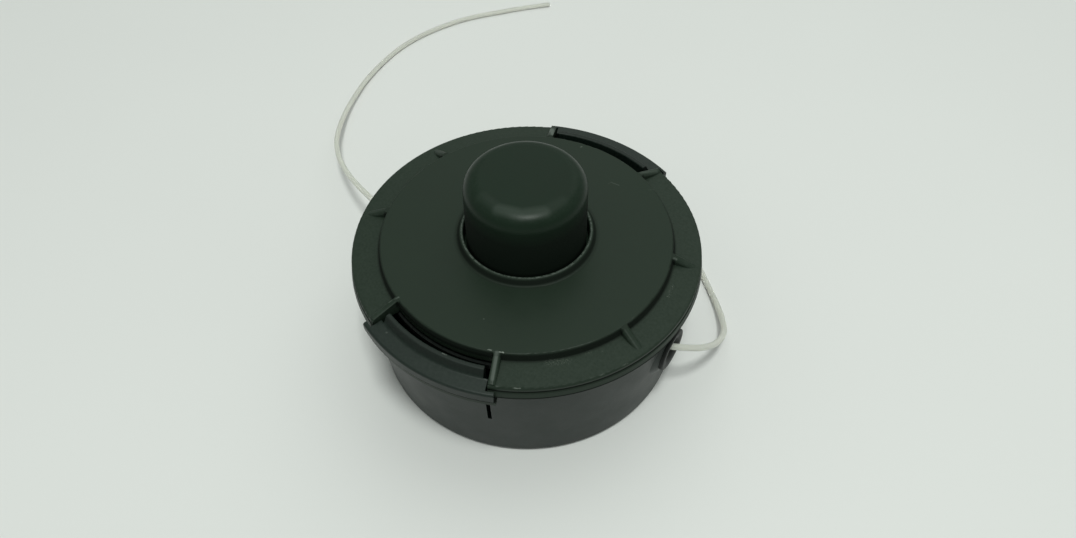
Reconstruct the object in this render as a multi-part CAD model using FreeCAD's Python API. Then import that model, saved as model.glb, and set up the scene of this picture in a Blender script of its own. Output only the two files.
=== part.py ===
"""Bump feed trimmer head, lying knob up. Millimetres, +Z up, base on z = 0, +X through the right line outlet.

The spring lifts the spool until its upper lugs mesh with those of the cover. A bump on the knob pushes the
spool down by bump_travel, out of the upper lugs and into the lower ones, half a pitch further on.
"""
import FreeCAD
import Part
import math
import os
from FreeCAD import Vector

# Housing wall and floor
wall_base_radius = 48.3
wall_top_radius = 50.4
wall_height = 37.35
wall_base_thickness = 1.9
wall_top_thickness = 3.4
base_edge_round = 1.8
base_ring_width = 5.0
base_recess = 2.0
floor_thickness = 2.5
spigot_thickness = 1.6

# Hub: nut pocket, spring well and the sleeve that the spool runs on
hub_boss_radius = 12.0
post_radius = 9.6
shaft_hole_radius = 4.3
nut_seat_height = 4.0
nut_width = 13.0
nut_height = 8.0
nut_chamfer = 0.9
thread_radius = 3.4
nut_fit = 0.1
nut_lead_in = 6.5
sleeve_outer_radius = 14.2
sleeve_thickness = 1.2

# Cover
rim_overhang = 1.95
cover_gap = 0.35
skirt_height = 4.2
rim_bead_height = 1.2
rim_round = 0.7
rim_groove = 0.4
skirt_foot_height = 2.1
skirt_foot_overhang = 0.2
skirt_foot_flare = 0.4
flange_width = 8.15
flange_rise = 0.7
flange_thickness = 1.6
step_height = 2.4
step_slope = 0.7
step_wall = 1.4
disc_thickness = 2.2
collar_height = 2.0
collar_wall = 1.0
collar_foot = 2.0
fit_clearance = 0.3
gusset_thickness = 2.6
gusset_reach = 6.2
gusset_angle = 19.8
gusset_crest = 1.0
gusset_sink = 0.1
gusset_round_share = 0.4

# Latches, on the Y axis: arm of the housing, window and loop of the cover
latch_directions = (-90.0, 90.0)
arm_half_angle = 19.7
slit_width = 1.2
slit_bottom = 19.5
window_half_angle = 21.7
window_play_angle = 0.5
window_inset = 0.4
window_rib_thickness = 2.5
window_rib_lap = 0.5
window_rib_reach = 7.35
window_rib_toe = 0.6
lip_gap = 3.3
lip_thickness = 1.35
lip_drop = 1.2
lip_foot_width = 2.6
arm_face_inset = 0.1
pad_overhang = 2.15
pad_drop = 0.6
pad_fall = 0.4
pad_half_angle = 23.8
latch_clearance = 0.4
loop_height = 1.6
loop_thickness = 1.5
loop_leg_angle = 2.6
loop_leg_inset = 0.3

# Line outlets, on the X axis
outlet_directions = (0.0, 180.0)
outlet_height = 23.0
outlet_boss_radius = 7.2
outlet_boss_stand = 0.6
outlet_boss_root = 1.9
outlet_boss_angle = 55.0
eyelet_barrel_radius = 3.8
eyelet_bore_radius = 2.4
eyelet_flange_radius = 6.8
eyelet_flange_thickness = 1.2
eyelet_mouth_round = 3.3
eyelet_fit = 0.05
line_radius = 1.0

# Spool, lugs and knob
bump_travel = 5.0
lug_count = 4
lug_height = 3.0
lug_angle = 8.0
lug_inner_radius = 21.6
lug_outer_radius = 27.0
lug_play_angle = 0.7
lug_end_gap = 0.3
spool_wall_gap = 2.0
spool_barrel_radius = 18.0
spool_flange = 1.7
spool_web = 2.0
spool_web_hole_radius = 4.5
web_gap = 3.0
winding_radius = 29.0
winding_fit = 0.1
winding_groove_share = 0.3
knob_radius = 18.0
knob_draft = 0.4
knob_clearance = 0.75
knob_height = 28.4
knob_wall = 2.4
knob_top_thickness = 3.0
knob_round = 5.0
knob_flange_width = 2.6
knob_flange_thickness = 1.8
knob_spigot_depth = 5.5
knob_spigot_wall = 1.8

# Return spring and thrust washer
spring_wire = 1.4
spring_clearance = 0.5
spring_turns = 5.5
spring_steps = 10
spring_end_pitch = 1.2
washer_thickness = 1.5
washer_clearance = 0.5

# Roundings, the reach of pieces into one another and of cutters past a surface, and the bends of bars
fine_round = 0.3
edge_round = 0.5
soft_round = 0.8
joint_overlap = 0.5
cutter_reach = 1.0
bend_share = 0.45

# Routes of the two lines, from just inside the wall to the cut end
line_right_route = [
    (45.2, 0.0, 23.4), (49.4, 0.2, 23.4), (52.4, 2.8, 22.6), (54.3, 6.9, 20.0), (56.3, 11.0, 17.0),
    (58.3, 15.0, 14.0), (59.5, 18.0, 12.0), (59.8, 20.9, 10.5), (59.2, 24.0, 9.2), (57.2, 28.0, 7.5),
    (53.7, 34.2, 5.0), (49.5, 41.1, 2.8), (45.8, 46.4, 1.5), (42.4, 50.2, 1.05), (37.4, 54.8, 1.0),
    (30.0, 59.6, 1.0), (20.5, 63.4, 1.0), (9.5, 65.4, 1.0), (-2.5, 65.6, 1.0), (-14.5, 63.8, 1.0),
    (-26.0, 60.0, 1.0), (-36.5, 54.2, 1.0),
]
line_left_route = [
    (-45.2, 0.0, 24.1), (-53.5, 0.0, 23.6), (-62.0, 0.4, 22.4), (-70.8, 2.0, 20.8), (-80.5, 6.0, 19.2),
    (-90.4, 11.6, 17.5), (-100.0, 18.0, 15.8), (-109.8, 26.2, 13.6), (-119.0, 36.0, 11.0),
    (-127.4, 48.0, 8.0), (-135.0, 62.4, 5.0), (-141.0, 79.2, 2.5), (-144.2, 98.0, 1.15),
    (-142.2, 117.0, 1.0), (-134.8, 135.8, 1.0), (-122.6, 152.6, 1.0), (-112.6, 163.4, 1.0),
    (-101.8, 172.6, 1.0),
]


def drafted(base_radius, top_radius, base_height, height):
    """Radius at a height on a straight side of the wall that ends at the wall's height."""
    return base_radius + (top_radius - base_radius) * (height - base_height) / (wall_height - base_height)


# Heights and radii that follow from the values above
floor_top = base_recess + floor_thickness
inner_base_radius = wall_base_radius - wall_base_thickness
inner_top_radius = wall_top_radius - wall_top_thickness
spigot_radius = inner_top_radius + spigot_thickness
sleeve_inner_radius = sleeve_outer_radius - sleeve_thickness
post_top = nut_seat_height + nut_height + nut_lead_in
cover_radius = wall_top_radius + rim_overhang
foot_top_radius = cover_radius + skirt_foot_overhang
foot_radius = foot_top_radius + skirt_foot_flare
skirt_bottom = wall_height + cover_gap
rim_top = skirt_bottom + skirt_height
flange_under = rim_top - flange_thickness
flange_inner_top = rim_top + flange_rise
spigot_top = flange_under - latch_clearance
disc_top = flange_inner_top + step_height
disc_under = disc_top - disc_thickness
step_foot_radius = cover_radius - flange_width
step_top_radius = step_foot_radius - step_slope
window_radius = step_top_radius + window_inset
hole_radius = knob_radius + knob_clearance
lip_inner_radius = window_radius + lip_gap
lip_outer_radius = lip_inner_radius + lip_thickness
lip_top = disc_top - lip_drop
pad_radius = cover_radius + pad_overhang
pad_top = rim_top - pad_drop
pad_bottom = wall_height + latch_clearance
loop_top = pad_bottom - latch_clearance
loop_outer_radius = pad_radius - latch_clearance
spool_top = disc_under - lug_end_gap - lug_height
spool_bottom = floor_top + lug_height + lug_end_gap + bump_travel
spool_bore_radius = sleeve_outer_radius + fit_clearance
web_bottom = post_top + bump_travel + web_gap
web_top = web_bottom + spool_web
washer_bottom = web_bottom - washer_thickness
sleeve_top = washer_bottom - bump_travel - web_gap / 2
lug_pitch = 360.0 / lug_count
lowest_spool_wall = drafted(inner_base_radius, inner_top_radius, floor_top, spool_bottom - bump_travel)
highest_spool_wall = drafted(inner_base_radius, inner_top_radius, floor_top, spool_top)
spool_radius = min(lowest_spool_wall, highest_spool_wall) - spool_wall_gap
outlet_wall_radius = drafted(wall_base_radius, wall_top_radius, 0, outlet_height)
outlet_boss_reach = outlet_wall_radius + outlet_boss_stand
eyelet_inner_end = drafted(inner_base_radius, inner_top_radius, floor_top, outlet_height)


def rounded_edges(points, radii, closed):
    """Straight runs between the points, joined by a tangent arc of the given radius at each corner."""
    ends = []
    for index, (point, radius) in enumerate(zip(points, radii)):
        if radius == 0:
            ends.append((point, None, point))
            continue
        back = (points[index - 1] - point).normalize()
        ahead = (points[(index + 1) % len(points)] - point).normalize()
        half_angle = back.getAngle(ahead) / 2
        set_back = radius / math.tan(half_angle)
        depth = radius / math.sin(half_angle) - radius
        middle = point + (back + ahead).normalize() * depth
        ends.append((point + back * set_back, middle, point + ahead * set_back))
    edges = []
    for index, (start, middle, finish) in enumerate(ends):
        if index > 0 or closed:
            last = ends[index - 1][2]
            if last.distanceToPoint(start) > 1e-6:
                edges.append(Part.LineSegment(last, start).toShape())
        if middle is not None:
            edges.append(Part.Arc(start, middle, finish).toShape())
    return edges


def section(corners):
    """Face in the XZ plane from (radius, height) or (radius, height, rounding) corners."""
    points = [Vector(corner[0], 0, corner[1]) for corner in corners]
    radii = [corner[2] if len(corner) > 2 else 0 for corner in corners]
    return Part.Face(Part.Wire(rounded_edges(points, radii, True)))


def revolved(corners, start=0.0, turn=360.0):
    """Section turned about Z from the start angle through the given turn."""
    solid = section(corners).revolve(Vector(0, 0, 0), Vector(0, 0, 1), turn)
    return turned(solid, start)


def sector(inner, outer, low, high, centre, half_angle):
    """Piece of a ring between two radii and two heights, centred on an angle about Z."""
    corners = [(inner, low), (outer, low), (outer, high), (inner, high)]
    return revolved(corners, centre - half_angle, 2 * half_angle)


def ring(inner, outer, low, high):
    """Full ring between two radii and two heights."""
    return revolved([(inner, low), (outer, low), (outer, high), (inner, high)])


def turned(shape, angle):
    """Copy of the shape turned about Z."""
    copy = shape.copy()
    copy.rotate(Vector(0, 0, 0), Vector(0, 0, 1), angle)
    return copy


def joined(body, pieces):
    """Body fused with all the pieces."""
    return body.fuse(pieces).removeSplitter()


def hexagon(width, low, high):
    """Hexagonal prism about Z, given its width across flats."""
    corner = width / math.sqrt(3)
    angles = [math.radians(60 * index) for index in range(7)]
    points = [Vector(corner * math.cos(angle), corner * math.sin(angle), low) for angle in angles]
    return Part.Face(Part.makePolygon(points)).extrude(Vector(0, 0, high - low))


def lugs(low, high, first_angle):
    """Ring of drive lugs between two heights."""
    angles = [first_angle + index * lug_pitch for index in range(lug_count)]
    return [sector(lug_inner_radius, lug_outer_radius, low, high, angle, lug_angle / 2) for angle in angles]


def along_x(shape, direction):
    """Shape made about Z, laid along the outlet's axis at the outlet's height and turned to its direction."""
    shape.rotate(Vector(0, 0, 0), Vector(0, 1, 0), 90)
    shape.translate(Vector(0, 0, outlet_height))
    return turned(shape, direction)


def latch_head(direction):
    """Lip and press pad on top of a latch arm, narrower inside the cover's window than outside its rim."""
    lip_foot_radius = lip_inner_radius + lip_foot_width
    arm_face_radius = wall_top_radius - arm_face_inset
    low = wall_height - cutter_reach
    profile = [
        (inner_top_radius, low), (inner_top_radius, wall_height), (lip_inner_radius, lip_top, edge_round),
        (lip_outer_radius, lip_top, edge_round), (lip_foot_radius, pad_top, soft_round),
        (pad_radius, pad_top - pad_fall, soft_round),
        (pad_radius, pad_bottom, fine_round), (arm_face_radius, pad_bottom), (arm_face_radius, low),
    ]
    whole = revolved(profile, direction - pad_half_angle, 2 * pad_half_angle)
    near = inner_top_radius - cutter_reach
    far = pad_radius + cutter_reach
    top = lip_top + cutter_reach
    window_half = window_half_angle - window_play_angle
    arm = sector(near, far, low - cutter_reach, top, direction, arm_half_angle)
    in_window = sector(lip_foot_radius, far, pad_bottom, top, direction, window_half)
    outside = sector(foot_radius + fit_clearance, far, pad_bottom, top, direction, pad_half_angle)
    return whole.common(arm.fuse([in_window, outside])).removeSplitter()


def slits(direction):
    """Two slits that free a latch arm from the wall, open under the pad."""
    half_angle = math.degrees(slit_width / 2 / wall_top_radius)
    offset = arm_half_angle + half_angle
    inner = inner_base_radius - cutter_reach
    outer = wall_top_radius + latch_clearance
    angles = [direction - offset, direction + offset]
    return [sector(inner, outer, slit_bottom, pad_bottom, angle, half_angle) for angle in angles]


def outlet_boss(direction):
    """Low cone on the wall that the eyelet's flange sits on."""
    height = outlet_boss_stand + outlet_boss_root
    foot_spread = height * math.tan(math.radians(outlet_boss_angle))
    start = Vector(0, 0, outlet_boss_reach - height)
    cone = Part.makeCone(outlet_boss_radius + foot_spread, outlet_boss_radius, height, start)
    return along_x(cone, direction)


def outlet_bore(direction):
    """Cutter for the eyelet's barrel, right through the wall and the boss."""
    start = eyelet_inner_end - cutter_reach
    length = outlet_boss_reach + cutter_reach - start
    radius = eyelet_barrel_radius + eyelet_fit
    return along_x(Part.makeCylinder(radius, length, Vector(0, 0, start)), direction)


def housing():
    """Cup with hub, spring well, sleeve, drive lugs, two latch arms and two line outlets."""
    ring_inner_radius = wall_base_radius - base_edge_round - base_ring_width
    body = revolved([
        (shaft_hole_radius, 0), (hub_boss_radius, 0, edge_round), (hub_boss_radius, base_recess),
        (ring_inner_radius, base_recess), (ring_inner_radius, 0, edge_round),
        (wall_base_radius, 0, base_edge_round), (wall_top_radius, wall_height, edge_round),
        (spigot_radius, wall_height), (spigot_radius, spigot_top),
        (inner_top_radius, spigot_top), (inner_top_radius, wall_height), (inner_base_radius, floor_top),
        (sleeve_outer_radius, floor_top), (sleeve_outer_radius, sleeve_top),
        (sleeve_inner_radius, sleeve_top), (sleeve_inner_radius, floor_top),
        (post_radius, floor_top), (post_radius, post_top), (shaft_hole_radius, post_top),
    ])
    additions = lugs(floor_top - joint_overlap, floor_top + lug_height, lug_pitch / 2)
    cuts = [hexagon(nut_width + 2 * nut_fit, nut_seat_height, post_top + cutter_reach)]
    for direction in outlet_directions:
        additions.append(outlet_boss(direction))
        cuts.append(outlet_bore(direction))
    gaps = []
    for direction in latch_directions:
        gaps.append(sector(inner_top_radius - cutter_reach, spigot_radius + cutter_reach, wall_height,
                           spigot_top + cutter_reach, direction, window_half_angle + window_play_angle))
        cuts.extend(slits(direction))
    body = joined(body.cut(gaps), additions)
    body = joined(body, [latch_head(direction) for direction in latch_directions])
    return body.cut(cuts).removeSplitter()


def gusset(angle, thickness, reach, toe_height):
    """Radial web from the step's top edge down to the flange, with its two long edges rounded."""
    root = step_top_radius - cutter_reach
    crest = step_top_radius + gusset_crest
    toe = crest + reach
    low = flange_under + fine_round
    high = disc_top - gusset_sink
    points = [(root, low), (toe, low), (toe, rim_top + toe_height), (crest, high), (root, high)]
    corners = [Vector(radius, -thickness / 2, height) for radius, height in points]
    web = Part.Face(Part.makePolygon(corners + corners[:1])).extrude(Vector(0, thickness, 0))
    # The two long edges are the only ones that run both outwards and down
    slopes = [edge for edge in web.Edges if min(edge.BoundBox.XLength, edge.BoundBox.ZLength) > gusset_sink]
    return turned(web.makeFillet(gusset_round_share * thickness, slopes), angle)


def loop(direction):
    """Stirrup of the cover's skirt that passes under the latch pad and catches it."""
    low = loop_top - loop_height
    leg_half = loop_leg_angle / 2
    bar_inner_radius = loop_outer_radius - loop_thickness
    leg_inner_radius = wall_top_radius + latch_clearance
    leg_outer_radius = cover_radius - loop_leg_inset
    leg_top = skirt_bottom + joint_overlap
    bar_half = window_half_angle + loop_leg_angle
    pieces = [sector(bar_inner_radius, loop_outer_radius, low, loop_top, direction, bar_half)]
    for centre in (direction - bar_half + leg_half, direction + bar_half - leg_half):
        pieces.append(sector(leg_inner_radius, loop_outer_radius, low, loop_top, centre, leg_half))
        pieces.append(sector(leg_inner_radius, leg_outer_radius, low, leg_top, centre, leg_half))
    return pieces


def cover():
    """Snap-on cover: collar, disc, step, flange, rim, skirt, gussets, windows with loops, drive lugs."""
    skirt_inner_radius = spigot_radius + fit_clearance
    groove_radius = cover_radius - rim_groove
    bead_bottom = rim_top - rim_bead_height
    foot_top = skirt_bottom + skirt_foot_height
    collar_top = disc_top + collar_height
    step_inner_radius = step_foot_radius - step_wall
    body = revolved([
        (hole_radius, disc_under), (hole_radius, collar_top, edge_round),
        (hole_radius + collar_wall, collar_top, edge_round),
        (hole_radius + collar_foot, disc_top, soft_round), (step_top_radius, disc_top, edge_round),
        (step_foot_radius, flange_inner_top, fine_round), (cover_radius, rim_top, rim_round),
        (cover_radius, bead_bottom), (groove_radius, bead_bottom - rim_groove),
        (foot_top_radius, foot_top, fine_round), (foot_radius, skirt_bottom, fine_round),
        (skirt_inner_radius, skirt_bottom), (skirt_inner_radius, flange_under),
        (step_foot_radius, flange_under), (step_inner_radius, disc_under),
    ])
    web_room = revolved([
        (step_inner_radius, disc_under), (step_foot_radius, flange_under), (cover_radius, flange_under),
        (cover_radius, disc_top), (step_inner_radius, disc_top),
    ])
    webs = []
    for direction in outlet_directions:
        for angle in (direction - gusset_angle, direction + gusset_angle):
            webs.append(gusset(angle, gusset_thickness, gusset_reach, gusset_sink))
    rib_half_width = window_rib_thickness / 2 - window_rib_lap
    rib_offset = window_half_angle + math.degrees(rib_half_width / (step_top_radius + gusset_crest))
    for direction in latch_directions:
        for angle in (direction - rib_offset, direction + rib_offset):
            webs.append(gusset(angle, window_rib_thickness, window_rib_reach, window_rib_toe))
    body = joined(body, [web.common(web_room) for web in webs])
    window_low = skirt_bottom - cutter_reach
    window_high = disc_top + cutter_reach
    windows = []
    additions = lugs(disc_under - lug_height, disc_under + joint_overlap, 0.0)
    for direction in latch_directions:
        windows.append(sector(window_radius, pad_radius, window_low, window_high, direction,
                              window_half_angle))
        additions.extend(loop(direction))
    return joined(body.cut(windows), additions)


def drive_nut():
    """Hexagon nut with chamfered corners, its thread left as a plain bore."""
    low = nut_seat_height
    high = nut_seat_height + nut_height
    corner = nut_width / math.sqrt(3)
    flat = nut_width / 2
    outer = corner + nut_fit
    chamfered = revolved([(thread_radius, low), (flat, low), (outer, low + nut_chamfer),
                          (outer, high - nut_chamfer), (flat, high), (thread_radius, high)])
    return hexagon(nut_width, low, high).common(chamfered)


def eyelet(direction):
    """Outlet eyelet: barrel pressed into the wall, flange on the boss, bell mouth."""
    face = outlet_boss_reach + eyelet_flange_thickness
    body = revolved([
        (eyelet_bore_radius, eyelet_inner_end, edge_round), (eyelet_barrel_radius, eyelet_inner_end),
        (eyelet_barrel_radius, outlet_boss_reach), (eyelet_flange_radius, outlet_boss_reach),
        (eyelet_flange_radius, face, edge_round), (eyelet_bore_radius, face, eyelet_mouth_round),
    ])
    return along_x(body, direction)


def spool():
    """Two-chamber spool with a web over the thrust washer and drive lugs on both end faces."""
    chamber = (spool_top - spool_bottom - 3 * spool_flange) / 2
    middle_low = spool_bottom + spool_flange + chamber
    body = revolved([
        (spool_bore_radius, spool_bottom), (spool_radius, spool_bottom),
        (spool_radius, spool_bottom + spool_flange),
        (spool_barrel_radius, spool_bottom + spool_flange), (spool_barrel_radius, middle_low),
        (spool_radius, middle_low), (spool_radius, middle_low + spool_flange),
        (spool_barrel_radius, middle_low + spool_flange), (spool_barrel_radius, spool_top - spool_flange),
        (spool_radius, spool_top - spool_flange), (spool_radius, spool_top), (spool_bore_radius, spool_top),
        (spool_bore_radius, web_top), (spool_web_hole_radius, web_top), (spool_web_hole_radius, web_bottom),
        (spool_bore_radius, web_bottom),
    ])
    first = -(lug_angle + lug_play_angle)
    upper = lugs(spool_top - joint_overlap, spool_top + lug_height, first)
    lower = lugs(spool_bottom - lug_height, spool_bottom + joint_overlap, first)
    return joined(body, upper + lower)


def winding(chamber_index):
    """Line wound in one chamber, as one solid whose outside shows the last layer's turns."""
    chamber = (spool_top - spool_bottom - 3 * spool_flange) / 2
    low = spool_bottom + spool_flange + chamber_index * (chamber + spool_flange) + winding_fit
    width = chamber - 2 * winding_fit
    turns = int(width / (2 * line_radius))
    pitch = width / turns
    inner = spool_barrel_radius + winding_fit
    groove = winding_radius - winding_groove_share * line_radius
    edges = [Part.LineSegment(Vector(inner, 0, low + width), Vector(inner, 0, low)).toShape(),
             Part.LineSegment(Vector(inner, 0, low), Vector(groove, 0, low)).toShape()]
    for index in range(turns):
        start = low + index * pitch
        edges.append(Part.Arc(Vector(groove, 0, start), Vector(winding_radius, 0, start + pitch / 2),
                              Vector(groove, 0, start + pitch)).toShape())
    edges.append(Part.LineSegment(Vector(groove, 0, low + width), Vector(inner, 0, low + width)).toShape())
    return Part.Face(Part.Wire(edges)).revolve(Vector(0, 0, 0), Vector(0, 0, 1), 360)


def bump_knob():
    """Hollow cap with a flange that stays under the cover and a spigot that centres it in the spool."""
    top = spool_top + knob_height
    flange_top = spool_top + knob_flange_thickness
    spigot_outer = spool_bore_radius - fit_clearance
    spigot_inner = spigot_outer - knob_spigot_wall
    spigot_low = spool_top - knob_spigot_depth
    inner_top = knob_radius - knob_draft - knob_wall
    return revolved([
        (spigot_outer, spigot_low), (spigot_outer, spool_top), (knob_radius + knob_flange_width, spool_top),
        (knob_radius + knob_flange_width, flange_top, fine_round), (knob_radius, flange_top),
        (knob_radius - knob_draft, top, knob_round), (0, top), (0, top - knob_top_thickness),
        (inner_top, top - knob_top_thickness, knob_round - knob_wall), (knob_radius - knob_wall, flange_top),
        (spigot_inner, flange_top), (spigot_inner, spigot_low),
    ])


def return_spring():
    """Coil spring round the hub post, its first and last turns wound nearly closed."""
    low = floor_top + fit_clearance + spring_wire / 2
    high = washer_bottom - fit_clearance - spring_wire / 2
    corner_radius = (post_radius + spring_clearance + spring_wire / 2) / math.cos(math.pi / spring_steps)
    end_rise = spring_end_pitch * spring_wire
    pitch = (high - low - 2 * end_rise) / (spring_turns - 2)
    points = []
    for index in range(int(spring_turns * spring_steps) + 1):
        turn = index / spring_steps
        middle_turns = min(max(turn - 1, 0), spring_turns - 2)
        end_turns = turn - middle_turns
        angle = 2 * math.pi * turn
        height = low + end_rise * end_turns + pitch * middle_turns
        points.append(Vector(corner_radius * math.cos(angle), corner_radius * math.sin(angle), height))
    return tube("return_spring", points, spring_wire / 2)


def thrust_washer():
    """Steel washer between the spring and the spool's web."""
    inner = post_radius + washer_clearance
    outer = spool_bore_radius - washer_clearance
    return ring(inner, outer, washer_bottom, web_bottom)


def tube(name, points, radius):
    """Round bar along a path; prints its bend radii and compares its volume with section times length."""
    bends = [0.0]
    for before, point, after in zip(points, points[1:], points[2:]):
        turn = (point - before).getAngle(after - point)
        shorter = min((point - before).Length, (after - point).Length)
        bends.append(bend_share * shorter / math.tan(turn / 2))
    bends.append(0.0)
    path = Part.Wire(rounded_edges(points, bends, False))
    circle = Part.makeCircle(radius, points[0], points[1] - points[0])
    solid = path.makePipeShell([Part.Wire(circle)], True, False)
    expected = math.pi * radius ** 2 * path.Length
    print(name, "length", round(path.Length, 1), "volume ratio", round(solid.Volume / expected, 4))
    print(name, "tightest bend", round(min(bends[1:-1]), 1), "widest", round(max(bends), 1))
    return solid


def cord(name, route):
    """Cutting line along its route."""
    return tube(name, [Vector(*point) for point in route], line_radius)


nodes = {
    "housing": housing(),
    "cover": cover(),
    "drive_nut": drive_nut(),
    "eyelet_right": eyelet(outlet_directions[0]),
    "eyelet_left": eyelet(outlet_directions[1]),
    "return_spring": return_spring(),
    "thrust_washer": thrust_washer(),
    "spool": spool(),
    "winding_lower": winding(0),
    "winding_upper": winding(1),
    "bump_knob": bump_knob(),
    "line_right": cord("line_right", line_right_route),
    "line_left": cord("line_left", line_left_route),
}

os.makedirs("parts", exist_ok=True)
for name, shape in nodes.items():
    print(name, "solids", len(shape.Solids), "valid", shape.isValid(), "volume", round(shape.Volume, 1))
    shape.exportStep("parts/" + name + ".step")
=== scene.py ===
"""Bump feed trimmer head: finishes, spring, cutting line, floor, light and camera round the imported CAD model.

Sizes on the part are in millimetres, and MM turns them to metres, in the CAD model's own frame: base ring
on z = 0, knob up, +X out through the right line outlet. Lamps and floor are in metres.
"""

import math

import bpy
import numpy as np
from mathutils import Matrix, Vector


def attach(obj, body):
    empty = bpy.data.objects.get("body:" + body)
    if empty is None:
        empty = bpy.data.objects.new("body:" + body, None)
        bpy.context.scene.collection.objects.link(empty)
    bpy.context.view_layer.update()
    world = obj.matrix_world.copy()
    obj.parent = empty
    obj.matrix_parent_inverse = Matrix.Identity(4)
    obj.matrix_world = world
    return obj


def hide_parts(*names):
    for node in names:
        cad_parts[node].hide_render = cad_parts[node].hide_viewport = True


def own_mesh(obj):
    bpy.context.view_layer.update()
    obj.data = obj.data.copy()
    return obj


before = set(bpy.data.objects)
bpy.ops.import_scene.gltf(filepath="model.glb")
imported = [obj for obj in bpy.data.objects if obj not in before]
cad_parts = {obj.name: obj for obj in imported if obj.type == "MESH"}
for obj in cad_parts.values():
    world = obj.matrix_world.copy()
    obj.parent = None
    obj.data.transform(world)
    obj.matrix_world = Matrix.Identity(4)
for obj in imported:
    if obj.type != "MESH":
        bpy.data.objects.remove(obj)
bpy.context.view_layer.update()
MM = 0.001


# Nodes and colours

def linear(colour):
    """sRGB hex colour to linear RGBA."""
    shares = [int(colour[i:i + 2], 16) / 255 for i in (1, 3, 5)]
    return tuple(c / 12.92 if c <= 0.04045 else ((c + 0.055) / 1.055) ** 2.4 for c in shares) + (1.0,)


def add(material, kind, inputs=None, output=None, **settings):
    """Adds a node with its settings; an input takes a value, or the output that it is linked from.
    Returns the node's output of the given name, or else the first one in use."""
    tree = material.node_tree
    node = tree.nodes.new(kind)
    for name, value in settings.items():
        setattr(node, name, value)
    for key, value in (inputs or {}).items():
        if isinstance(value, bpy.types.NodeSocket):
            tree.links.new(value, node.inputs[key])
        else:
            node.inputs[key].default_value = value
    if output:
        return node.outputs[output]
    return next((socket for socket in node.outputs if socket.enabled), None)


def blank(name):
    """New material with an empty tree, and the place on the surface in millimetres."""
    material = bpy.data.materials.new(name)
    material.use_nodes = True
    material.node_tree.nodes.clear()
    metres = add(material, "ShaderNodeTexCoord", output="Object")
    return material, add(material, "ShaderNodeVectorMath", {0: metres, "Scale": 1 / MM}, operation="SCALE")


def dress(material, *nodes):
    """Puts a material on CAD nodes."""
    for node in nodes:
        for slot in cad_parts[node].material_slots:
            slot.material = material


# Where the plastic is worn, nicked or dusty, and where highlights and shade are painted on it: masks from 0 to
# 1, from the place in millimetres

RING_CORE = 0.5
STROKE_CORE = 0.3


def highest(material, masks):
    """The largest of several masks at each point."""
    top = masks[0]
    for mask in masks[1:]:
        top = add(material, "ShaderNodeMath", {0: top, 1: mask}, operation="MAXIMUM")
    return top


def rings(material, place, marks):
    """A mask for each ring about the Z axis, given as radius, half width, height, half height and strength.
    It is full in the core of both halves, and fades in a straight line to their ends."""
    height = add(material, "ShaderNodeSeparateXYZ", {"Vector": place}, "Z")
    flat = add(material, "ShaderNodeVectorMath", {0: place, 1: (1, 1, 0)}, operation="MULTIPLY")
    radius = add(material, "ShaderNodeVectorMath", {0: flat}, operation="LENGTH")
    masks = []
    for ring_radius, half_width, ring_height, half_height, strength in marks:
        mask = strength
        for value, centre, half in ((radius, ring_radius, half_width), (height, ring_height, half_height)):
            off = add(material, "ShaderNodeMath", {0: value, 1: centre}, operation="SUBTRACT")
            distance = add(material, "ShaderNodeMath", {0: off}, operation="ABSOLUTE")
            side = add(material, "ShaderNodeMapRange", {
                "Value": distance, "From Min": half, "From Max": RING_CORE * half})
            mask = add(material, "ShaderNodeMath", {0: side, 1: mask}, operation="MULTIPLY")
        masks.append(mask)
    return masks


def strokes(material, place, marks):
    """A mask for each straight mark, given as its two ends, half width and strength. It is full in the core
    of its half width, and fades in a straight line to its edge."""
    masks = []
    for start, end, half_width, strength in marks:
        run = Vector(end) - Vector(start)
        off = add(material, "ShaderNodeVectorMath", {0: place, 1: start}, operation="SUBTRACT")
        along = add(material, "ShaderNodeVectorMath", {
            0: off, 1: run / run.length_squared}, operation="DOT_PRODUCT")
        share = add(material, "ShaderNodeClamp", {"Value": along})
        nearest = add(material, "ShaderNodeVectorMath", {0: run, "Scale": share}, operation="SCALE")
        distance = add(material, "ShaderNodeVectorMath", {0: off, 1: nearest}, operation="DISTANCE")
        masks.append(add(material, "ShaderNodeMapRange", {
            "Value": distance, "From Min": half_width, "From Max": STROKE_CORE * half_width,
            "To Max": strength}))
    return masks


# Black moulded nylon: satin, seen dark green grey where it mirrors the pale room, with a fine mould grain,
# clouds of sheen from handling, edges polished grey by use and some crests lightened as painted highlights,
# pale nicks, specks of dust, and painted shade darkening the seams and recesses

# Each noise has the size of its spots in millimetres, its levels of detail and the output that is used. The
# mould grain and the specks are finer on the real part, and are drawn as coarse as they need to show
NYLON_NOISE = {
    "cloud": (14.0, 5.0, "Fac"),
    "rub_and_highlight": (0.8, 4.0, "Fac"),
    "ragged": (0.5, 2.0, "Color"),
    "speck": (0.25, 1.0, "Fac"),
    "grain": (0.5, 3.0, "Fac"),
}
NOISE_ROUGHNESS = 0.62
NOISE_MIDDLE = (0.5, 0.5, 0.5)
RAGGED_REACH = (0.5, 0.5, 0.5)
RUB_AND_HIGHLIGHT_FROM, RUB_AND_HIGHLIGHT_TO = 0.34, 0.62
SPECK_FROM, SPECK_TO = 0.54, 0.68
SHEEN_FROM, SHEEN_TO = 0.7, 0.3
SHEEN = 0.1
GRAIN_STRENGTH = 0.16
GRAIN_DEPTH = 0.12
NYLON_IOR = 1.5
# Grey of edges worn by use, also painted on some crests as highlights
WORN_AND_HIGHLIGHT_TINT = "#7C847E"
DUST_TINT = "#A2A89E"
NICK_TINT = "#C6CBC4"
# Painted shade: near black, put where shade falls in the seams and recesses
PAINTED_SHADE_TINT = "#040805"
PAINTED_SHADE_DULLNESS = 0.9


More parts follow.
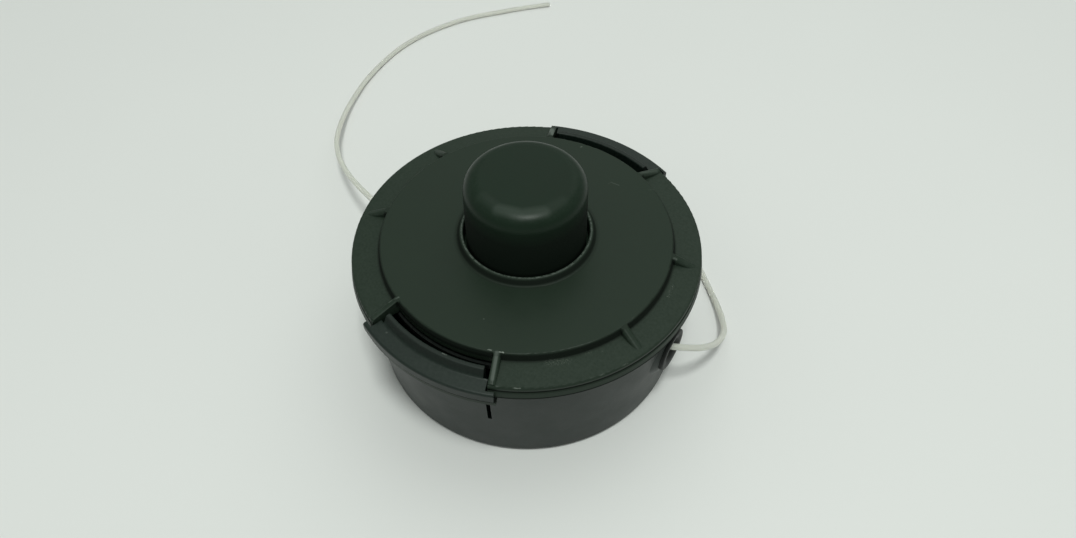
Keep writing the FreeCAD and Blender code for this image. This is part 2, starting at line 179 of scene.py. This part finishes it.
def moulded_nylon(name, dark, light, dullness, shine, worn_and_highlight_rings, rubs_and_highlights=(), nicks=(), dust=(), painted_shade=()):
    """Black nylon as moulded, with worn rings and rubbed strokes, some of them painted highlights, nicked and
    dusty strokes, and rings of painted shade.
    """
    material, place = blank(name)
    noise = {}
    for use, (size, detail, output) in NYLON_NOISE.items():
        noise[use] = add(material, "ShaderNodeTexNoise", {
            "Vector": place, "Scale": 1 / size, "Detail": detail, "Roughness": NOISE_ROUGHNESS}, output)
    broken = add(material, "ShaderNodeMapRange", {
        "Value": noise["rub_and_highlight"], "From Min": RUB_AND_HIGHLIGHT_FROM, "From Max": RUB_AND_HIGHLIGHT_TO})
    # Worn rings, some of them painted highlights, broken up by noise
    worn_and_highlight_edges = add(material, "ShaderNodeMath", {
        0: highest(material, rings(material, place, worn_and_highlight_rings)), 1: broken}, operation="MULTIPLY")
    layers = [(highest(material, [worn_and_highlight_edges, *strokes(material, place, rubs_and_highlights)]), WORN_AND_HIGHLIGHT_TINT)]
    if dust:
        specks = add(material, "ShaderNodeMapRange", {
            "Value": noise["speck"], "From Min": SPECK_FROM, "From Max": SPECK_TO})
        dusty = add(material, "ShaderNodeMath", {
            0: highest(material, strokes(material, place, dust)), 1: specks}, operation="MULTIPLY")
        layers.append((dusty, DUST_TINT))
    if nicks:
        shift = add(material, "ShaderNodeVectorMath", {
            0: noise["ragged"], 1: NOISE_MIDDLE}, operation="SUBTRACT")
        ragged = add(material, "ShaderNodeVectorMath", {
            0: shift, 1: RAGGED_REACH, 2: place}, operation="MULTIPLY_ADD")
        layers.append((highest(material, strokes(material, ragged, nicks)), NICK_TINT))
    sheen = add(material, "ShaderNodeMapRange", {
        "Value": noise["cloud"], "From Min": SHEEN_FROM, "From Max": SHEEN_TO, "To Max": SHEEN})
    roughness = add(material, "ShaderNodeMath", {0: dullness, 1: sheen}, operation="SUBTRACT")
    # Rings of painted shade: near black and dull where shade falls in the seams and recesses
    if painted_shade:
        shade_mask = highest(material, rings(material, place, painted_shade))
        layers.append((shade_mask, PAINTED_SHADE_TINT))
        roughness = add(material, "ShaderNodeMix", {"Factor": shade_mask, "A": roughness, "B": PAINTED_SHADE_DULLNESS})
    colour = add(material, "ShaderNodeMix", {
        "Factor": noise["cloud"], "A": linear(dark), "B": linear(light)}, data_type="RGBA")
    for mask, tint in layers:
        colour = add(material, "ShaderNodeMix", {
            "Factor": mask, "A": colour, "B": linear(tint)}, data_type="RGBA")
    bump = add(material, "ShaderNodeBump", {
        "Height": noise["grain"], "Strength": GRAIN_STRENGTH, "Distance": GRAIN_DEPTH * MM})
    shader = add(material, "ShaderNodeBsdfPrincipled", {
        "Base Color": colour, "Roughness": roughness, "Normal": bump,
        "IOR": NYLON_IOR, "Specular IOR Level": shine})
    add(material, "ShaderNodeOutputMaterial", {"Surface": shader})
    return material


# Cover: the collar's crest worn and lightened as a painted highlight, the flange worn, the ribs' ends rubbed
# and partly lightened as painted highlights, painted shade in the seams and recesses
# The collar's crest worn and lightened as a painted highlight; the flange worn
COVER_WORN_AND_HIGHLIGHT = [
    (19.25, 0.35, 47.0, 0.3, 0.42),
    (48.0, 6.0, 42.5, 1.6, 0.035),
]
# Ribs' ends rubbed, and lightened partly as painted highlights
COVER_RUBS_AND_HIGHLIGHTS = [
    ((16.8, -40.2, 44.8), (19.5, -46.4, 42.6), 0.8, 0.32),
    ((-16.8, -39.6, 44.9), (-18.2, -42.0, 44.2), 0.4, 0.3),
    ((-16.8, 42.2, 44.7), (-19.4, 45.4, 43.4), 1.3, 0.4),
    ((16.9, 40.9, 44.8), (19.8, 46.2, 42.7), 0.9, 0.12),
    ((41.8, 14.2, 44.9), (42.4, 14.4, 44.7), 0.5, 0.3),
]
COVER_NICKS = [
    ((-5.5, 41.2, 45.0), (-5.3, 41.6, 45.0), 0.25, 0.15),
    ((10.6, 31.0, 45.0), (11.0, 32.0, 45.0), 0.25, 0.02),
    ((11.0, 32.0, 45.0), (13.7, 32.1, 45.0), 0.25, 0.05),
    ((22.6, 35.2, 45.0), (24.0, 36.4, 45.0), 0.25, 0.02),
    ((7.5, -33.1, 45.0), (7.7, -33.0, 45.0), 0.22, 0.06),
    ((14.3, -40.6, 44.9), (15.2, -40.3, 44.9), 0.25, 0.3),
    ((17.3, -39.6, 44.9), (18.3, -39.2, 44.9), 0.25, 0.4),
    ((25.3, -45.4, 41.9), (26.9, -44.5, 41.9), 0.25, 0.2),
    ((39.3, -23.4, 42.4), (39.5, -23.3, 42.4), 0.25, 0.05),
    ((45.9, -24.6, 41.9), (46.9, -22.7, 41.9), 0.25, 0.06),
    ((42.6, -29.9, 41.9), (43.2, -29.0, 41.9), 0.25, 0.06),
]
COVER_DUST = [
    ((29.0, -34.3, 42.5), (33.2, -31.0, 42.5), 1.3, 0.2),
    ((36.3, -26.6, 42.5), (37.0, -25.2, 42.5), 0.8, 0.14),
    ((45.3, 6.8, 42.5), (45.9, 2.6, 42.5), 0.7, 0.2),
]
# Painted shade: the collar's foot, the step, the rim's groove and the skirt's foot darkened where shade falls
COVER_PAINTED_SHADE = [
    (20.7, 1.2, 46.0, 1.2, 0.7),
    (43.9, 0.9, 43.6, 1.5, 0.75),
    (51.9, 1.0, 40.4, 0.6, 0.7),
    (52.9, 2.0, 37.6, 0.9, 1.0),
]
dress(moulded_nylon(
    "black_nylon_cover", dark="#1F2921", light="#242F26", dullness=0.46, shine=0.16, worn_and_highlight_rings=COVER_WORN_AND_HIGHLIGHT,
    rubs_and_highlights=COVER_RUBS_AND_HIGHLIGHTS, nicks=COVER_NICKS, dust=COVER_DUST, painted_shade=COVER_PAINTED_SHADE), "cover")

# Housing: the latches' lips and pads worn, the lips' crests lightened partly as a painted highlight, painted
# shade on the lips' tops and outer faces
# The lips' crests worn and lightened partly as a painted highlight; the pads' edges and tops worn
HOUSING_WORN_AND_HIGHLIGHT = [
    (47.1, 0.35, 43.7, 0.3, 0.1),
    (54.1, 0.6, 40.8, 0.6, 0.02),
    (50.0, 7.0, 42.4, 2.4, 0.03),
]
HOUSING_NICKS = [
    ((4.2, -47.4, 43.7), (5.4, -47.3, 43.7), 0.25, 0.2),
    ((-14.3, -48.9, 41.1), (-13.9, -48.9, 41.1), 0.3, 0.08),
]
# Painted shade on the lips' tops and outer faces
HOUSING_PAINTED_SHADE = [(48.4, 1.3, 42.6, 1.8, 0.4)]
dress(moulded_nylon(
    "black_nylon_housing", dark="#0C1713", light="#111F19", dullness=0.48, shine=0.34,
    worn_and_highlight_rings=HOUSING_WORN_AND_HIGHLIGHT, nicks=HOUSING_NICKS, painted_shade=HOUSING_PAINTED_SHADE), "housing")

# Knob: its upper edge rubbed by the ground, with a painted highlight on its front, and painted shade on its
# side
KNOB_WORN = [(15.0, 2.4, 67.2, 1.6, 0.02)]
# Painted highlight on the front of the upper edge, lighter where the lamp catches it
KNOB_PAINTED_HIGHLIGHT = [
    ((-6.0, -12.9, 67.4), (0.6, -14.2, 67.4), 2.4, 0.04),
    ((0.6, -14.2, 67.4), (7.0, -12.4, 67.4), 2.4, 0.11),
    ((7.0, -12.4, 67.4), (11.6, -8.2, 67.4), 2.4, 0.1),
    ((11.6, -8.2, 67.4), (14.0, -2.4, 67.4), 2.4, 0.03),
]
# Painted shade on the knob's side
KNOB_PAINTED_SHADE = [(18.0, 2.0, 52.0, 12.0, 0.7)]
dress(moulded_nylon(
    "black_nylon_knob", dark="#101D13", light="#16261B", dullness=0.42, shine=0.15, worn_and_highlight_rings=KNOB_WORN,
    rubs_and_highlights=KNOB_PAINTED_HIGHLIGHT, painted_shade=KNOB_PAINTED_SHADE), "bump_knob")

# Spool: hidden, with its upper flange a little worn
SPOOL_WORN = [(44.0, 0.6, 38.0, 2.0, 0.05)]
dress(moulded_nylon(
    "black_nylon_spool", dark="#090C0B", light="#0F1312", dullness=0.44, shine=0.3,
    worn_and_highlight_rings=SPOOL_WORN), "spool")


# Black anodised aluminium: dark, smooth and slightly glossy

TURNED_SPOT = 0.8


def anodised_aluminium():
    """Black anodised eyelet with fine changes of tone and roughness from its turned surface."""
    material, place = blank("black_anodised_aluminium")
    tone = add(material, "ShaderNodeTexNoise", {"Vector": place, "Scale": 1 / TURNED_SPOT, "Detail": 3.0})
    colour = add(material, "ShaderNodeMix", {
        "Factor": tone, "A": linear("#070A09"), "B": linear("#0E1311")}, data_type="RGBA")
    roughness = add(material, "ShaderNodeMapRange", {"Value": tone, "To Min": 0.45, "To Max": 0.6})
    shader = add(material, "ShaderNodeBsdfPrincipled", {
        "Base Color": colour, "Roughness": roughness, "Specular IOR Level": 0.3})
    add(material, "ShaderNodeOutputMaterial", {"Surface": shader})
    return material


dress(anodised_aluminium(), "eyelet_right", "eyelet_left")


# Zinc plated steel: pale grey metal with a soft sheen

ZINC_CRYSTAL = 1.2


def zinc_steel():
    """Zinc plated steel with small crystalline changes of tone and roughness."""
    material, place = blank("zinc_plated_steel")
    crystal = add(material, "ShaderNodeTexNoise", {"Vector": place, "Scale": 1 / ZINC_CRYSTAL, "Detail": 4.0})
    colour = add(material, "ShaderNodeMix", {
        "Factor": crystal, "A": linear("#8E9294"), "B": linear("#B9BCBD")}, data_type="RGBA")
    roughness = add(material, "ShaderNodeMapRange", {"Value": crystal, "To Min": 0.28, "To Max": 0.46})
    shader = add(material, "ShaderNodeBsdfPrincipled", {
        "Base Color": colour, "Roughness": roughness, "Metallic": 1.0})
    add(material, "ShaderNodeOutputMaterial", {"Surface": shader})
    return material


ZINC_STEEL = zinc_steel()
dress(ZINC_STEEL, "drive_nut", "thrust_washer")


# Return spring: round the hub post inside the head, made here as a coil of round wire that rides with the
# housing

SPRING_LOW = 5.5
SPRING_HIGH = 24.0
SPRING_RADIUS = 11.0
SPRING_TURNS = 5.5
SPRING_END_RISE = 1.68
WIRE_RADIUS = 0.7
STEPS_ALONG = 264
STEPS_ROUND = 12


def coil_spring():
    """Round wire carried along a helix about Z. The helix rises by a little over one wire thickness in its
    first and its last turn, and evenly by the rest of the spring's length in the turns between them."""
    turns = np.linspace(0, SPRING_TURNS, STEPS_ALONG)[:, None]
    middle = np.clip(turns - 1, 0, SPRING_TURNS - 2)
    pitch = (SPRING_HIGH - SPRING_LOW - 2 * SPRING_END_RISE) / (SPRING_TURNS - 2)
    height = SPRING_LOW + SPRING_END_RISE * (turns - middle) + pitch * middle
    angle = 2 * np.pi * turns
    section = 2 * np.pi * np.arange(STEPS_ROUND)[None, :] / STEPS_ROUND
    out = SPRING_RADIUS + WIRE_RADIUS * np.cos(section)
    rise = height + WIRE_RADIUS * np.sin(section)
    points = np.stack([out * np.cos(angle), out * np.sin(angle), rise], axis=-1).reshape(-1, 3)
    row, column = np.meshgrid(np.arange(STEPS_ALONG - 1), np.arange(STEPS_ROUND), indexing="ij")
    here = row * STEPS_ROUND + column
    beside = row * STEPS_ROUND + (column + 1) % STEPS_ROUND
    corners = np.stack([here, here + STEPS_ROUND, beside + STEPS_ROUND, beside], axis=-1)
    sides = corners.reshape(-1, 4).tolist()
    first = np.arange(STEPS_ROUND)
    last = first[::-1] + (STEPS_ALONG - 1) * STEPS_ROUND
    ends = [first.tolist(), last.tolist()]
    mesh = bpy.data.meshes.new("return_spring_coil")
    mesh.from_pydata((points * MM).tolist(), [], sides + ends)
    mesh.polygons.foreach_set("use_smooth", [True] * len(sides) + [False] * len(ends))
    mesh.materials.append(ZINC_STEEL)
    spring = bpy.data.objects.new("return_spring_coil", mesh)
    bpy.context.collection.objects.link(spring)
    return spring


return_spring = coil_spring()
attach(return_spring, "housing")
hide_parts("return_spring")
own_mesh(return_spring)


# Natural nylon monofilament: pale, milky and half clear, smooth as extruded

HAZE_SPOT = 6.0
LINE_SCATTER = 1.2


def nylon_line():
    """Natural nylon line, a little yellow, with light passing through it and scattering inside it."""
    material, place = blank("natural_nylon_line")
    haze = add(material, "ShaderNodeTexNoise", {"Vector": place, "Scale": 1 / HAZE_SPOT, "Detail": 3.0})
    colour = add(material, "ShaderNodeMix", {
        "Factor": haze, "A": linear("#E8E7DF"), "B": linear("#F2F1EB")}, data_type="RGBA")
    roughness = add(material, "ShaderNodeMapRange", {"Value": haze, "To Min": 0.28, "To Max": 0.42})
    shader = add(material, "ShaderNodeBsdfPrincipled", {
        "Base Color": colour, "Roughness": roughness, "IOR": 1.53, "Subsurface Weight": 0.6,
        "Subsurface Radius": (1.0, 1.0, 1.0), "Subsurface Scale": LINE_SCATTER * MM,
        "Transmission Weight": 0.5})
    add(material, "ShaderNodeOutputMaterial", {"Surface": shader})
    return material


LINE_NYLON = nylon_line()
dress(LINE_NYLON, "winding_upper", "winding_lower")


# Cutting line: the two ends that come out through the eyelets

LINE_DIAMETER = 2.0 * MM
LINE_RIGHT_ROUTE = [
    (45.2, 0.0, 23.4), (49.4, 0.2, 23.4), (52.7, 2.2, 22.8), (55.0, 4.8, 21.0), (57.1, 8.1, 18.5),
    (58.8, 13.1, 14.5), (59.7, 18.3, 10.8), (59.6, 24.2, 7.6), (58.6, 28.2, 5.8), (55.3, 34.2, 3.6),
    (51.9, 38.7, 2.3), (47.6, 43.5, 1.4), (43.8, 47.3, 1.1), (40.2, 50.8, 1.0), (36.0, 54.8, 1.0),
    (30.0, 59.6, 1.0), (20.5, 63.4, 1.0), (9.5, 65.4, 1.0), (-2.5, 65.6, 1.0), (-14.5, 63.8, 1.0),
    (-26.0, 60.0, 1.0), (-35.2, 54.9, 1.0),
]
LINE_LEFT_ROUTE = [
    (-45.2, 0.0, 24.1), (-53.5, 0.0, 23.6), (-62.0, 0.4, 22.4), (-70.5, 4.0, 19.5), (-78.7, 7.4, 17.2),
    (-88.2, 12.0, 14.6), (-98.1, 17.9, 12.0), (-106.6, 24.8, 9.3), (-112.7, 30.9, 7.3), (-118.8, 39.3, 5.2),
    (-124.5, 48.8, 3.4), (-129.2, 59.2, 2.2), (-132.9, 70.0, 1.6), (-135.0, 80.1, 1.3), (-136.3, 90.5, 1.0),
    (-136.3, 101.5, 1.0), (-134.1, 113.4, 1.0), (-129.8, 125.4, 1.0), (-123.6, 137.1, 1.0),
    (-114.6, 148.0, 1.0), (-105.6, 158.7, 1.0), (-96.5, 167.8, 1.0),
]


def cutting_line(name, route):
    """One smooth curve of line along its route, round in section, cut square at its far end."""
    curve = bpy.data.curves.new(name, "CURVE")
    curve.dimensions = "3D"
    curve.bevel_depth = LINE_DIAMETER / 2
    curve.bevel_resolution = 6
    curve.resolution_u = 12
    curve.use_fill_caps = True
    spline = curve.splines.new("NURBS")
    spline.points.add(len(route) - 1)
    for point, place in zip(spline.points, route):
        point.co = (*(Vector(place) * MM), 1.0)
    spline.order_u = 3
    spline.use_endpoint_u = True
    line = bpy.data.objects.new(name + "_strand", curve)
    bpy.context.collection.objects.link(line)
    curve.materials.append(LINE_NYLON)
    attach(line, "housing")
    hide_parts(name)


cutting_line("line_right", LINE_RIGHT_ROUTE)
cutting_line("line_left", LINE_LEFT_ROUTE)


# Pale laminate table: matt, nearly even in tone

HAZE_ACROSS = 160.0
FLOOR_SIZE = 6.0


def pale_table():
    """Matt pale laminate under the head, with very faint clouds of tone."""
    material, place = blank("pale_laminate")
    haze = add(material, "ShaderNodeTexNoise", {"Vector": place, "Scale": 1 / HAZE_ACROSS, "Detail": 2.0})
    colour = add(material, "ShaderNodeMix", {
        "Factor": haze, "A": linear("#DEDCDD"), "B": linear("#E2E0E1")}, data_type="RGBA")
    shader = add(material, "ShaderNodeBsdfPrincipled", {"Base Color": colour, "Roughness": 0.7})
    add(material, "ShaderNodeOutputMaterial", {"Surface": shader})
    return material


bpy.ops.mesh.primitive_plane_add(size=FLOOR_SIZE, location=(0, 0, 0))
floor = bpy.context.object
floor.name = "floor"
floor.data.materials.append(pale_table())


# Light: a large softbox behind the head for the flat tops, a small one overhead, and an even pale room

LAMP_TINT = "#F2FAF3"
ROOM_TINT = "#A3AAA4"


def softbox(name, place, size, power):
    """Square soft lamp at a place, turned to the head."""
    data = bpy.data.lights.new(name, "AREA")
    data.shape = "SQUARE"
    data.size = size
    data.energy = power
    data.color = linear(LAMP_TINT)[:3]
    lamp = bpy.data.objects.new(name, data)
    lamp.location = place
    lamp.rotation_mode = "QUATERNION"
    lamp.rotation_quaternion = (-Vector(place)).to_track_quat("-Z", "Y")
    bpy.context.collection.objects.link(lamp)


softbox("window_softbox", place=(-0.17, 0.78, 1.3), size=1.6, power=5.4)
softbox("key_softbox", place=(0.23, -0.24, 1.25), size=0.24, power=8.6)

world = bpy.data.worlds.new("studio")
bpy.context.scene.world = world
world.use_nodes = True
room = world.node_tree.nodes["Background"]
room.inputs["Color"].default_value = linear(ROOM_TINT)
room.inputs["Strength"].default_value = 1.0


# Camera: near the head, as the photo's perspective shows, with its focal length in the photo's pixels

PHOTO_WIDTH = 1076
FOCAL_PIXELS = 791.0
VIEW_AZIMUTH = 32.97
VIEW_ELEVATION = 50.24
VIEW_ROLL = -0.61
EYE = (89.47, -131.84, 219.21)
NEAREST = 10.0

camera_data = bpy.data.cameras.new("camera")
camera_data.sensor_fit = "HORIZONTAL"
camera_data.sensor_width = 36.0
camera_data.lens = FOCAL_PIXELS / PHOTO_WIDTH * camera_data.sensor_width
camera_data.clip_start = NEAREST * MM
camera = bpy.data.objects.new("camera", camera_data)
turn = Matrix.Rotation(math.radians(VIEW_AZIMUTH), 4, "Z")
tilt = Matrix.Rotation(math.radians(90 - VIEW_ELEVATION), 4, "X")
roll = Matrix.Rotation(math.radians(VIEW_ROLL), 4, "Z")
camera.matrix_world = Matrix.Translation(Vector(EYE) * MM) @ turn @ tilt @ roll
bpy.context.collection.objects.link(camera)
bpy.context.scene.camera = camera
bpy.context.scene.view_settings.view_transform = "Standard"
